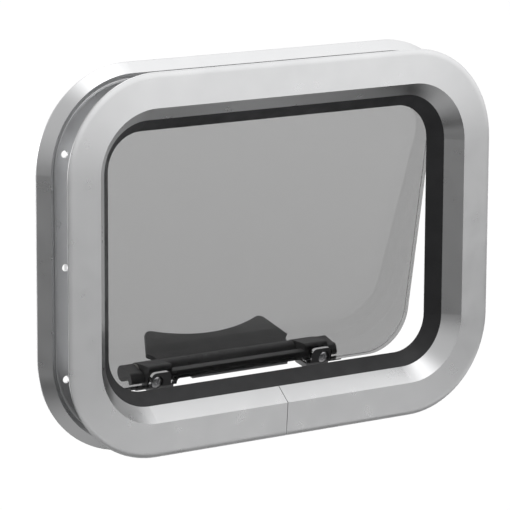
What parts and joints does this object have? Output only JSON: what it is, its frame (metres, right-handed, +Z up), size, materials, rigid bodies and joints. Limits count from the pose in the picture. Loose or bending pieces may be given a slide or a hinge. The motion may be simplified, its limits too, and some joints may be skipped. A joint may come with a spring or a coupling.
{
  "type": "opening porthole",
  "caption": "Rectangular opening porthole: aluminium outside and inside frames, smoked acrylic lens hinged at the top, and a lever handle with two latch claws.",
  "frame": {"origin": "centre of the wall's cut-out, in the wall's outside surface, which the back of the outside frame's bezel lies on", "axes": "+X right as seen from outside, +Y from outside into the cabin, +Z up"},
  "size_m": [0.3852, 0.1222, 0.2912],
  "materials": {
    "satin_aluminium": "bead-blasted, silver anodised, satin",
    "dark_anodised_aluminium": "black anodised, satin",
    "stainless_steel": "turned stainless steel",
    "black_rubber": "extruded EPDM, semi-matt",
    "smoked_acrylic": "clear smoked cast acrylic, polished",
    "black_plastic": "glass-filled nylon, fine spark texture",
    "white_nylon": "natural nylon",
    "brass": "turned brass"
  },
  "bodies": {
    "frame": {"outside_frame": "satin_aluminium", "inside_frame": "satin_aluminium", "outside_splice_plate": "satin_aluminium", "inside_splice_plate": "satin_aluminium", "outside_splice_screws": "stainless_steel", "inside_splice_screws": "stainless_steel", "frame_tie_screws": "stainless_steel", "lens_seal": "black_rubber", "hinge_base_left": "dark_anodised_aluminium", "hinge_pin_left": "stainless_steel", "hinge_washers_left": "white_nylon", "hinge_screws_left": "stainless_steel", "keeper_left": "dark_anodised_aluminium", "keeper_screws_left": "stainless_steel", "hinge_base_right": "dark_anodised_aluminium", "hinge_pin_right": "stainless_steel", "hinge_washers_right": "white_nylon", "hinge_screws_right": "stainless_steel", "keeper_right": "dark_anodised_aluminium", "keeper_screws_right": "stainless_steel"},
    "opening_lens": {"lens": "smoked_acrylic", "lens_inserts": "brass", "handle_base": "black_plastic", "handle_screws": "stainless_steel", "handle_clamp_plates": "black_plastic", "handle_inserts": "brass", "hinge_leaf_left": "dark_anodised_aluminium", "hinge_leaf_right": "dark_anodised_aluminium", "leaf_screws_left": "stainless_steel", "leaf_screws_right": "stainless_steel"},
    "lever": {"handle_shaft": "stainless_steel", "handle_lever": "black_plastic", "drive_pins": "stainless_steel", "thrust_washers": "white_nylon", "latch_claw_left": "black_plastic", "latch_claw_right": "black_plastic"}
  },
  "joints": [
    {"name": "lens_hinge", "type": "hinge", "parent": "frame", "child": "opening_lens", "pos_m": [0, 0.0349, 0.1093], "axis": [1, 0, 0], "range_deg": [-10.26, 80]},
    {"name": "lever_turn", "type": "hinge", "parent": "opening_lens", "child": "lever", "pos_m": [0, 0.08526, -0.09835], "axis": [-1, 0, 0], "range_deg": [-28, 0]}
  ]
}
